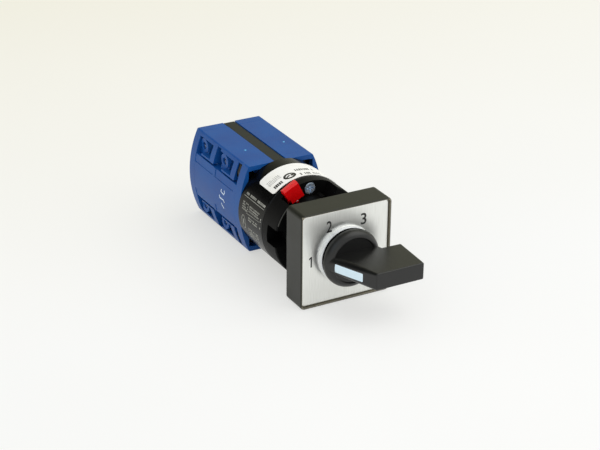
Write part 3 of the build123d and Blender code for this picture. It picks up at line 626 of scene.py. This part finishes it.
rings = [round_ring(collar_inner, plate_back), square_ring(0, plate_back)]
for step in range(4):
    angle = step / 3 * pi / 2
    rings.append(square_ring(edge * (1 - cos(angle)), plate_front + edge * (1 - sin(angle))))
for step in range(5):
    angle = step / 4 * pi / 2
    foot_radius = collar_outer + foot * (1 - sin(angle))
    rings.append(round_ring(foot_radius, plate_front - foot * (1 - cos(angle))))
rim = (collar_outer - collar_inner) / 2
for step in range(7):
    angle = step / 6 * pi
    rim_radius = collar_inner + rim + rim * cos(angle)
    rings.append(round_ring(rim_radius, collar_front + rim * (1 - sin(angle))))
print(f"{len(rings)} outlines of {len(outline)} points")

# %% Dial plate
dial_mesh = stacked("dial", rings)
dial_mesh.shade_smooth()
dial_mesh.materials.append(finishes["dial_aluminium"])
dial_mesh.materials.append(collar_aluminium)
for face in dial_mesh.polygons:
    face.material_index = 1 if face.center.y < plate_front - 0.1 * mm else 0
carrier = bpy.data.objects.new("dial_blank", dial_mesh)
bpy.context.scene.collection.objects.link(carrier)
carrier.modifiers.new("even_shading", "WEIGHTED_NORMAL").weight = 100
dial = show(applied(carrier), "dial", "casing")
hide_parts("dial_plate")
print(f"dial {2 * plate_half / mm:.1f} mm square, {len(dial.data.polygons)} faces")

# %% [markdown]
# ## Numerals
#
# The three switch positions are printed in black beside the collar. The two and the three
# are text curves, made a mesh and fitted to their printed width and height, because a narrow
# letter is simply a wide one squeezed. The one is a plain bar with a flag. Each stands two
# hundredths of a millimetre proud.

# %% Helpers that make a numeral
def joined(name, meshes, finish):
    """Several meshes as one, with one finish."""
    work = bmesh.new()
    for mesh in meshes:
        work.from_mesh(mesh)
    whole = bpy.data.meshes.new(name)
    work.to_mesh(whole)
    work.free()
    whole.materials.append(finish)
    return whole


ink_height = 0.02
ink_spread = 0.012


def numeral(text, middle_x, middle_z, width, height):
    """A printed numeral on the dial's front, its sizes in mm."""
    curve = bpy.data.curves.new(f"numeral_{text}", "FONT")
    curve.body = text
    curve.extrude = ink_height
    curve.offset = ink_spread
    letter = bpy.data.objects.new(f"numeral_{text}", curve)
    bpy.context.scene.collection.objects.link(letter)
    mesh = applied(letter)
    low = Vector([min(vertex.co[axis] for vertex in mesh.vertices) for axis in range(3)])
    high = Vector([max(vertex.co[axis] for vertex in mesh.vertices) for axis in range(3)])
    for vertex in mesh.vertices:
        across = (vertex.co.x - low.x) / (high.x - low.x) - 0.5
        upward = (vertex.co.y - low.y) / (high.y - low.y) - 0.5
        x, z = middle_x + across * width, middle_z + upward * height
        vertex.co = Vector((x * mm, plate_front - vertex.co.z * mm, z * mm))
    return mesh


def plain_one(middle_x, middle_z, height, width=0.44):
    """A numeral one without a foot: an upright bar and a short slanting flag."""
    work = bmesh.new()
    top, low = middle_z + height / 2, middle_z - height / 2
    bar = middle_x + 0.2
    left, right = bar - width / 2, bar + width / 2
    upright = [(left, low), (right, low), (right, top), (left, top)]
    flag = [(bar, top), (bar, top - 0.55), (bar - 0.75, top - 0.95), (bar - 0.75, top - 0.5)]
    for corners in (upright, flag):
        ends = [plate_front - ink_height * mm, plate_front + ink_height * mm]
        near, far = ([work.verts.new((x * mm, y, z * mm)) for x, z in corners] for y in ends)
        work.faces.new(near)
        work.faces.new(far[::-1])
        for corner in range(4):
            after = (corner + 1) % 4
            work.faces.new((near[corner], far[corner], far[after], near[after]))
    bmesh.ops.recalc_face_normals(work, faces=work.faces)
    mesh = bpy.data.meshes.new("numeral_1")
    work.to_mesh(mesh)
    work.free()
    return mesh


print("numeral helpers ready")

# %% Numerals on the dial
numerals = [
    plain_one(-11.5, -0.3, 3.4),
    numeral("2", -5.5, 9.7, 1.75, 3.6),
    numeral("3", 5.9, 9.8, 1.9, 3.6),
]
dial_print = joined("dial_print", numerals, black_ink)
show(dial_print, "dial_print", "casing")
print(f"{len(numerals)} numerals, {len(dial_print.polygons)} faces")

# %% [markdown]
# ## Wrapping print round the drum
#
# The label and the rating panel are printed flat and then bent round the drum. Geometry
# Nodes does the same: this node group takes flat artwork, turns it, and wraps it so that a
# length along X becomes an angle round the drum.

# %% Node group that wraps artwork
def node_group(name, sockets):
    """A Geometry Nodes group with these inputs: name, kind of socket."""
    group = bpy.data.node_groups.new(name, "GeometryNodeTree")
    for title, kind in sockets:
        group.interface.new_socket(title, in_out="INPUT", socket_type=f"NodeSocket{kind}")
    group.interface.new_socket("Geometry", in_out="OUTPUT", socket_type="NodeSocketGeometry")
    return group, group.nodes.new("NodeGroupInput").outputs, group.nodes.new("NodeGroupOutput")


def calc(tree, operation, first, second=0.0):
    """One step of arithmetic in a node tree."""
    return put(tree, "ShaderNodeMath", {0: first, 1: second}, operation=operation).outputs[0]


wrap_sockets = [("Radius", "Float"), ("Angle", "Float"), ("Along", "Float"), ("Turn", "Float")]
wrap, given, result = node_group("wrap_on_drum", [("Geometry", "Geometry"), *wrap_sockets])
flat = put(wrap, "GeometryNodeInputPosition", {}).outputs[0]
turned = put(
    wrap, "ShaderNodeVectorRotate", {"Vector": flat, "Angle": given["Turn"]}, rotation_type="Z_AXIS"
)
place = put(wrap, "ShaderNodeSeparateXYZ", {"Vector": turned.outputs[0]}).outputs
angle = calc(wrap, "ADD", calc(wrap, "DIVIDE", place["X"], given["Radius"]), given["Angle"])
distance = calc(wrap, "ADD", given["Radius"], place["Z"])
inputs = {
    "X": calc(wrap, "MULTIPLY", distance, calc(wrap, "SINE", angle)),
    "Y": calc(wrap, "ADD", place["Y"], given["Along"]),
    "Z": calc(wrap, "MULTIPLY", distance, calc(wrap, "COSINE", angle)),
}
bent = put(wrap, "ShaderNodeCombineXYZ", inputs).outputs[0]
inputs = {"Geometry": given["Geometry"], "Position": bent}
moved = put(wrap, "GeometryNodeSetPosition", inputs).outputs["Geometry"]
wrap.links.new(moved, result.inputs["Geometry"])
print(f"node group {wrap.name}")

# %% [markdown]
# ## Rows of printed bars
#
# The small print is rows of short marks. A second node group lays them: it makes a grid of
# points, drops some of them for the gaps between words, puts a little bar on each of the
# rest, and hands them to the first group to be wrapped. The bars are generic: their lengths
# come from a seed, and they spell nothing.

# %% Node group that lays rows of bars
row_sockets = [("Columns", "Int"), ("Rows", "Int"), ("Column Step", "Float"), ("Row Step", "Float")]
row_sockets += [("Shortest", "Float"), ("Longest", "Float"), ("Height", "Float"), ("Lift", "Float")]
row_sockets += [("Missing", "Float"), ("Seed", "Int"), ("Ink", "Material")]
lines, given, result = node_group("printed_rows", row_sockets + wrap_sockets)
count = calc(lines, "MULTIPLY", given["Columns"], given["Rows"])
number = put(lines, "GeometryNodeInputIndex", {}).outputs[0]
column = calc(lines, "MODULO", number, given["Columns"])
row = calc(lines, "FLOOR", calc(lines, "DIVIDE", number, given["Columns"]))
inputs = {
    "X": calc(lines, "MULTIPLY", column, given["Column Step"]),
    "Y": calc(lines, "MULTIPLY", row, given["Row Step"]),
}
spot = put(lines, "ShaderNodeCombineXYZ", inputs).outputs[0]
points = put(lines, "GeometryNodePoints", {"Count": count, "Position": spot}).outputs[0]
inputs = {"Probability": given["Missing"], "Seed": given["Seed"]}
missing = put(lines, "FunctionNodeRandomValue", inputs, data_type="BOOLEAN").outputs[3]
inputs = {"Geometry": points, "Selection": missing}
kept = put(lines, "GeometryNodeDeleteGeometry", inputs, domain="POINT").outputs[0]
inputs = {2: given["Shortest"], 3: given["Longest"], "Seed": given["Seed"]}
length = put(lines, "FunctionNodeRandomValue", inputs, data_type="FLOAT").outputs[1]
inputs = {"X": length, "Y": given["Height"], "Z": given["Lift"]}
shape = put(lines, "ShaderNodeCombineXYZ", inputs).outputs[0]
bar = put(lines, "GeometryNodeMeshCube", {"Size": (1, 1, 1), "Vertices X": 3, "Vertices Y": 3})
inputs = {"Points": kept, "Instance": bar.outputs["Mesh"], "Scale": shape}
laid = put(lines, "GeometryNodeInstanceOnPoints", inputs).outputs[0]
real = put(lines, "GeometryNodeRealizeInstances", {"Geometry": laid}).outputs[0]
inputs = {"Geometry": real, **{title: given[title] for title, kind in wrap_sockets}}
wrapped = put(lines, "GeometryNodeGroup", {}, node_tree=wrap)
for title, value in inputs.items():
    lines.links.new(value, wrapped.inputs[title])
inputs = {"Geometry": wrapped.outputs["Geometry"], "Material": given["Ink"]}
inked = put(lines, "GeometryNodeSetMaterial", inputs).outputs[0]
lines.links.new(inked, result.inputs["Geometry"])
print(f"node group {lines.name}")

# %% [markdown]
# ## Applying a node group
#
# A node group does nothing until a modifier uses it. The helper puts it on an empty carrier
# object or on flat artwork, sets its inputs, and keeps the mesh that comes out. An input is
# set by its identifier, because two inputs may share a name.

# %% Helpers that apply the node groups
lift = 0.04 * mm


def laid_by(group, values, mesh=None):
    """The mesh that a node group makes, from flat artwork where one is given."""
    carrier = bpy.data.objects.new("print_carrier", mesh or bpy.data.meshes.new("print_carrier"))
    bpy.context.scene.collection.objects.link(carrier)
    modifier = carrier.modifiers.new("print", "NODES")
    modifier.node_group = group
    for socket in group.interface.items_tree:
        if socket.in_out == "INPUT" and socket.name in values:
            modifier[socket.identifier] = values[socket.name]
    return applied(carrier)


def rows_of_bars(
    radius, angle, along, across, count, step, sizes, ink, seed, turn=0.0, missing=0.1
):
    """Rows of bars on the drum: angles in degrees, lengths in mm.

    count is columns and rows, and sizes is the shortest and longest bar and their height.
    """
    shortest, longest, height = sizes
    return laid_by(
        lines,
        {
            "Columns": count[0],
            "Rows": count[1],
            "Column Step": step * mm,
            "Row Step": across * mm,
            "Shortest": shortest * mm,
            "Longest": longest * mm,
            "Height": height * mm,
            "Lift": lift,
            "Missing": missing,
            "Seed": seed,
            "Ink": ink,
            "Radius": radius,
            "Angle": radians(angle),
            "Along": along * mm,
            "Turn": radians(turn),
        },
    )


print("node group helpers ready")

# %% [markdown]
# ## Drawn strokes
#
# Rules, rings and ovals are drawn as strokes: a thin strip of quads that follows a list of
# points and has its own width at each. A strip closed on all sides is a printed layer with
# a thickness, which catches light as a flat plane alone would not.

# %% Helpers that draw strokes
def stroke(work, points, widths, closed=False):
    """Adds a thin closed strip to flat artwork. It follows points and has a width at each."""
    sections = []
    for index, point in enumerate(points):
        before = points[index - 1] if index or closed else point
        after = points[(index + 1) % len(points)] if index + 1 < len(points) or closed else point
        ahead = (after - before).normalized()
        aside = Vector((-ahead.y, ahead.x, 0)) * widths[index] / 2
        up = Vector((0, 0, lift / 2))
        corners = (point + aside + up, point - aside + up, point - aside - up, point + aside - up)
        sections.append([work.verts.new(corner) for corner in corners])
    pairs = list(zip(sections, sections[1:]))
    if closed:
        pairs.append((sections[-1], sections[0]))
    else:
        work.faces.new(sections[0])
        work.faces.new(sections[-1][::-1])
    for first, second in pairs:
        for corner in range(4):
            after = (corner + 1) % 4
            work.faces.new((first[after], first[corner], second[corner], second[after]))


def artwork(strokes):
    """A flat mesh of strokes, each a list of points, a list of widths and whether it closes."""
    work = bmesh.new()
    for points, widths, closed in strokes:
        stroke(work, points, widths, closed)
    bmesh.ops.recalc_face_normals(work, faces=work.faces)
    mesh = bpy.data.meshes.new("artwork")
    work.to_mesh(mesh)
    work.free()
    return mesh


print("stroke helpers ready")

# %% Helpers that place strokes round the drum
def drum_point(radius, angle, along):
    """A flat point that comes to lie at this angle round the drum."""
    return Vector((radians(angle) * radius, along * mm, 0))


def line_on_drum(radius, start, end, width, steps=12):
    """A rule between two places, each an angle and a distance along the drum."""
    first, last = drum_point(radius, *start), drum_point(radius, *end)
    points = [first.lerp(last, step / steps) for step in range(steps + 1)]
    return points, [width * mm] * len(points), False


def loop_on_drum(radius, middle, half_long, half_high, width, steps=48):
    """A ring or an oval outline."""
    points = []
    for step in range(steps):
        angle = 2 * pi * step / steps
        out = Vector((cos(angle) * half_long, sin(angle) * half_high, 0)) * mm
        points.append(drum_point(radius, *middle) + out)
    return points, [width * mm] * steps, True


def oval_on_drum(radius, middle, half_long, half_high, steps=24):
    """A filled oval: one strip whose width swells and shrinks."""
    points, widths = [], []
    for step in range(1, steps):
        angle = pi * step / steps
        across = Vector((-cos(angle) * half_long, 0, 0)) * mm
        points.append(drum_point(radius, *middle) + across)
        widths.append(2 * half_high * sin(angle) * mm)
    return points, widths, False


print("drum stroke helpers ready")

# %% [markdown]
# ## Print on the label
#
# The real label carries the maker's data. Here it has generic rows only: four fine grey ones
# at its left end, a short heavy one beside them, a dark oval, and two larger rows that run
# on over the top.

# %% Label print
label_radius = 14.9 * mm
fine = (0.2, 0.5, 0.22)
short = (0.3, 0.6, 1.4)
large = (0.26, 0.5, 1.3)
grey_rows = rows_of_bars(label_radius, -38.5, 21.1, 0.62, (8, 4), 0.58, fine, grey_ink, 3)
heavy_rows = [
    rows_of_bars(label_radius, -36.5, 18.8, 0.9, (5, 1), 0.66, short, dark_ink, 5, 0.0, 0.0),
    rows_of_bars(label_radius, -2.0, 21.6, 0.9, (9, 1), 0.72, large, dark_ink, 8),
    rows_of_bars(label_radius, -1.0, 18.4, 0.9, (10, 1), 0.72, large, dark_ink, 13),
]
oval = artwork(
    [
        loop_on_drum(label_radius, (-13.6, 19.6), 1.7, 1.3, 0.75),
        oval_on_drum(label_radius, (-10.4, 19.6), 0.45, 0.5),
        line_on_drum(label_radius, (-18.0, 19.3), (-13.0, 19.9), 0.55),
    ]
)
wrap_values = {"Radius": label_radius, "Angle": 0.0, "Along": 0.0, "Turn": 0.0}
heavy_rows.append(laid_by(wrap, wrap_values, oval))
fine_print = joined("label_fine_print", [grey_rows], grey_ink)
show(fine_print, "label_fine_print", "casing")
heavy_print = joined("label_print", heavy_rows, dark_ink)
show(heavy_print, "label_print", "casing")
print(f"label print: {len(fine_print.polygons) + len(heavy_print.polygons)} faces")

# %% [markdown]
# ## Rating panel on the drum
#
# The left side of the drum carries a table printed in silver: a row of small letters and a
# rule along its top, columns of figures below, and a round stamp in the back corner. All of
# it is again generic bars and plain outlines.

# %% Rating panel
drum_radius = 14.75 * mm
small = (0.22, 0.5, 0.42)
tall = (0.3, 0.5, 0.72)
wide = (0.3, 0.55, 0.5)
figures = [
    rows_of_bars(drum_radius, -61.2, 17.6, 0.8, (20, 1), 0.63, tall, silver_ink, 21, 90),
    rows_of_bars(drum_radius, -80.5, 26.1, -0.72, (6, 4), 0.62, small, silver_ink, 22, 90, 0.15),
    rows_of_bars(drum_radius, -78.5, 19.0, -0.72, (10, 3), 0.66, small, silver_ink, 23, 90, 0.15),
    rows_of_bars(drum_radius, -89.5, 19.4, -0.75, (10, 2), 0.66, small, silver_ink, 24, 90, 0.15),
    rows_of_bars(drum_radius, -113.0, 19.4, -0.75, (10, 5), 0.66, small, silver_ink, 25, 90, 0.25),
    rows_of_bars(drum_radius, -88.5, 17.5, 0.8, (5, 1), 0.7, wide, silver_ink, 26, 0),
]
rules = artwork(
    [
        line_on_drum(drum_radius, (-65.0, 29.9), (-65.0, 17.3), 0.16),
        line_on_drum(drum_radius, (-83.0, 26.6), (-81.6, 18.2), 0.12),
        loop_on_drum(drum_radius, (-96.7, 28.2), 2.2, 1.15, 0.2),
        line_on_drum(drum_radius, (-100.0, 28.2), (-93.0, 28.2), 0.5),
    ]
)
wrap_values["Radius"] = drum_radius
figures.append(laid_by(wrap, wrap_values, rules))
panel = joined("rating_panel", figures, silver_ink)
show(panel, "rating_panel", "casing")
print(f"rating panel: {len(panel.polygons)} faces")

# %% [markdown]
# ## Marks on the stages
#
# Three small white marks on the left side are plain strokes here, which stand for no sign.
# The side is bowed, so they are drawn flat and each point is moved out to the bow's circle.
# The front stage has two round spots on its top, probably where the mould's ejector
# pins touched. They are low buttons with a sloping rim, coloured light blue as a painted
# highlight on each.

# %% Marks on the bowed side
side_centre = 19.33 * mm
side_radius = 33.6 * mm


def on_side(mesh):
    """Stands flat artwork, drawn in y and z, on the bowed left side of the stages."""
    for vertex in mesh.vertices:
        y, z, height = vertex.co
        vertex.co = (side_centre - sqrt((side_radius + height) ** 2 - z**2), y, z)


def mark(points, width=0.42):
    """A stroke through points given as y and z, in mm."""
    return [Vector((y * mm, z * mm, 0)) for y, z in points], [width * mm] * len(points), False


circuit_marks = artwork(
    [
        mark([(44.2, 2.5), (44.7, 1.7), (43.7, 1.5), (42.6, 1.3), (42.1, 2.2), (42.5, 2.7)]),
        mark([(45.7, 0.1), (45.4, -0.7), (44.2, -0.7), (42.9, -0.6), (42.2, -1.3)]),
        mark([(44.5, -2.2), (44.1, -2.8), (42.8, -3.5)]),
    ]
)
on_side(circuit_marks)
circuit_marks = joined("circuit_marks", [circuit_marks], white_ink)
circuit_marks.flip_normals()
show(circuit_marks, "circuit_marks", "casing")
print(f"circuit marks: {len(circuit_marks.polygons)} faces")

# %% Ejector spots
stack_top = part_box("stage_housing_1")[1].z
button = {"radius1": 0.42 * mm, "radius2": 0.3 * mm, "depth": 0.1 * mm, "segments": 24}
work = bmesh.new()
for x, y in ((-6.0, 43.8), (7.7, 44.2)):
    spot_place = Matrix.Translation((x * mm, y * mm, stack_top))
    bmesh.ops.create_cone(work, cap_ends=True, matrix=spot_place, **button)
spot_mesh = bpy.data.meshes.new("ejector_spots")
work.to_mesh(spot_mesh)
work.free()
# The spots' light blue is a painted highlight; their shape is real.
spot_mesh.materials.append(spot_glint_plastic)
show(spot_mesh, "ejector_spots", "casing")
print(f"ejector spots: {len(spot_mesh.polygons)} faces")

# %% [markdown]
# ## Table
#
# The table is plain, pale paper, painted a little darker and warmer towards the back: painted
# shade, because the light is brighter in front. A pale table in a bright room throws so much
# light back up that shadows on it nearly vanish. So a share of what the camera and the
# mirrors see of the table is its own colour, unlit, and the rest is lit, which keeps a faint
# shadow.

# %% Table top
table_height = cad_box[0].z - 0.04 * mm
table_mesh = bpy.data.meshes.new("table")
reach = 3.0
corners = [(x * reach, y * reach, table_height) for x, y in ((-1, -1), (1, -1), (1, 1), (-1, 1))]
table_mesh.from_pydata(corners, [], [(0, 1, 2, 3)])
table = bpy.data.objects.new("table", table_mesh)
bpy.context.scene.collection.objects.link(table)
print(f"table {2 * reach:.0f} m wide at {table_height / mm:.2f} mm")


# %% Paper on the table
def looking_ray(tree):
    """1 for what the camera, a mirror or clear plastic looks at, and 0 for light."""
    path = put(tree, "ShaderNodeLightPath", {}).outputs
    inputs = {0: path["Is Camera Ray"], 1: path["Is Transmission Ray"]}
    seen = put(tree, "ShaderNodeMath", inputs, operation="MAXIMUM").outputs[0]
    inputs = {0: path["Is Glossy Ray"], 1: seen}
    return put(tree, "ShaderNodeMath", inputs, operation="MAXIMUM").outputs[0]


table_finish, tree, shader = start_finish("table_paper", Roughness=0.95, Specular_IOR_Level=0.1)
place = object_place(tree)
mottle = clouds(tree, place, 0.25)
near = shades(tree, mottle, linear(249, 249, 246), linear(252, 252, 250))
# Towards the back the paper turns darker and warmer: painted shade where less light falls.
depth = put(tree, "ShaderNodeSeparateXYZ", {"Vector": place}).outputs["Y"]
paper = blended(tree, ranged(tree, depth, 0.0, 0.35, 0.0, 1.0), near, linear(243, 240, 224))
tree.links.new(paper, shader.inputs["Base Color"])
even_share = 0.6
glow = put(tree, "ShaderNodeEmission", {"Color": paper, "Strength": 0.98})
share = put(tree, "ShaderNodeMath", {0: looking_ray(tree), 1: even_share}, operation="MULTIPLY")
surface = put(
    tree, "ShaderNodeMixShader", {0: share.outputs[0], 1: shader.outputs[0], 2: glow.outputs[0]}
)
tree.links.new(surface.outputs[0], tree.nodes["Material Output"].inputs["Surface"])
table_mesh.materials.append(table_finish)
print(f"{even_share:.0%} of the table's look is even colour")

# %% [markdown]
# ## Lamp and surroundings
#
# Matt surfaces are lit by an even, bright room and one weak soft lamp from the right, so a
# colour comes out about as it is written. Glossy black plastic has hardly any colour of its
# own: what gives it shape is what it mirrors. So for mirrored and looking rays the room has
# a pale horizon, a bright front, a dark back left and a bluish window.

# %% Soft lamp
def lamp(name, place, aim, width, power, colour):
    """A square soft lamp that faces aim."""
    data = bpy.data.lights.new(name, "AREA")
    data.size = width
    data.energy = power
    data.color = colour
    made = bpy.data.objects.new(name, data)
    made.location = place
    made.rotation_mode = "QUATERNION"
    made.rotation_quaternion = (aim - place).to_track_quat("-Z", "Y")
    bpy.context.scene.collection.objects.link(made)
    return made


centre = (cad_box[0] + cad_box[1]) / 2
lamp("soft_lamp", centre + Vector((0.5, -0.3, 0.75)), centre, 0.9, 3.0, (1.0, 0.985, 0.95))
print("one soft lamp")

# %% Room that lights and is mirrored
surroundings = bpy.data.worlds.new("surroundings")
bpy.context.scene.world = surroundings
surroundings.use_nodes = True
tree = surroundings.node_tree
even = tree.nodes["Background"]
even.inputs["Color"].default_value = (0.97, 0.985, 1.0, 1.0)
even.inputs["Strength"].default_value = 0.84
way = put(tree, "ShaderNodeTexCoord", {}).outputs["Generated"]
side = put(tree, "ShaderNodeSeparateXYZ", {"Vector": way}).outputs
room = blended(
    tree, ranged(tree, side["X"], -0.4, 0.7, 0.0, 1.0), (0.03, 0.03, 0.03, 1), (0.74, 0.74, 0.56, 1)
)
room = blended(tree, ranged(tree, side["Y"], 0.25, -0.2, 0.0, 1.0), room, (0.8, 0.82, 0.8, 1))
room = blended(tree, ranged(tree, side["Z"], 0.22, 0.04, 0.0, 1.0), room, (0.94, 0.93, 0.88, 1))
window = Vector((-0.705, -0.35, 0.55)).normalized()
inputs = {0: way, 1: window}
facing = put(tree, "ShaderNodeVectorMath", inputs, operation="DOT_PRODUCT").outputs["Value"]
room = blended(tree, ranged(tree, facing, 0.93, 0.97, 0.0, 1.0), room, (0.8, 0.9, 1.0, 1))
mirrored = put(tree, "ShaderNodeBackground", {"Color": room, "Strength": 1.0})
blend = put(
    tree, "ShaderNodeMixShader", {0: looking_ray(tree), 1: even.outputs[0], 2: mirrored.outputs[0]}
)
tree.links.new(blend.outputs[0], tree.nodes["World Output"].inputs["Surface"])
print("room ready")

# %% [markdown]
# ## Finish
#
# The Standard view shows each colour as it was written, with no film curve over it.

# %% Finish
bpy.context.scene.view_settings.view_transform = "Standard"
